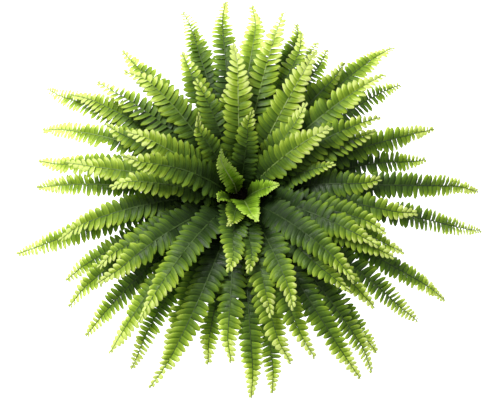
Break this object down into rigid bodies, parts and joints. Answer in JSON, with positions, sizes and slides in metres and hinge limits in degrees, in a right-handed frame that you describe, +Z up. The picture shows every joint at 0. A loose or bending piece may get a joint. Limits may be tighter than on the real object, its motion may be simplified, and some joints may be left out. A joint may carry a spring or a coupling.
{
  "type": "potted fern",
  "caption": "Sword fern with long arching fronds of small leaflets, spreading evenly on all sides from the soil of a plain round nursery pot.",
  "frame": {"origin": "centre of the pot's flat underside, on the surface that it stands on", "axes": "+Z up out of the pot, +X to the right and -Y towards the viewer in the picture, which looks down from above"},
  "size_m": [0.7107, 0.6075, 0.3079],
  "materials": {
    "pot": "dark moulded nursery pot, slightly satin",
    "soil": "moist crumbly peat potting soil",
    "foliage": "thin living leaf, soft sheen, light shines through the edges",
    "young_foliage": "thin young leaf, yellow-green, soft sheen"
  },
  "bodies": {
    "root": {"frond_01": "foliage", "frond_03": "foliage", "frond_05": "foliage", "frond_06": "foliage", "frond_07": "foliage", "frond_08": "foliage", "frond_09": "foliage", "frond_11": "foliage", "frond_12": "foliage", "frond_14": "foliage", "frond_15": "foliage", "frond_16": "foliage", "frond_17": "foliage", "frond_19": "foliage", "frond_20": "foliage", "frond_21": "foliage", "frond_25": "foliage", "frond_26": "foliage", "frond_27": "foliage", "frond_29": "foliage", "frond_30": "foliage", "frond_31": "foliage", "frond_33": "foliage", "frond_34": "foliage", "frond_37": "foliage", "frond_38": "foliage", "frond_40": "foliage", "frond_41": "foliage", "frond_44": "foliage", "frond_48": "foliage", "frond_53": "foliage", "frond_54": "foliage", "frond_56": "foliage", "frond_pair_02": "foliage", "frond_pair_04": "foliage", "frond_pair_10": "foliage", "frond_pair_13": "foliage", "frond_pair_18": "foliage", "frond_pair_22": "foliage", "frond_pair_23": "foliage", "frond_pair_24": "foliage", "frond_pair_28": "foliage", "frond_pair_32": "foliage", "frond_pair_35": "foliage", "frond_pair_36": "foliage", "frond_pair_39": "foliage", "frond_pair_42": "foliage", "frond_pair_43": "foliage", "frond_pair_45": "foliage", "frond_pair_46": "foliage", "frond_pair_47": "foliage", "frond_pair_49": "foliage", "frond_pair_50": "foliage", "frond_pair_51": "foliage", "frond_pair_52": "foliage", "frond_pair_55": "foliage", "frond_pair_57": "young_foliage", "frond_pair_58": "young_foliage", "pot": "pot", "soil": "soil"}
  },
  "joints": []
}
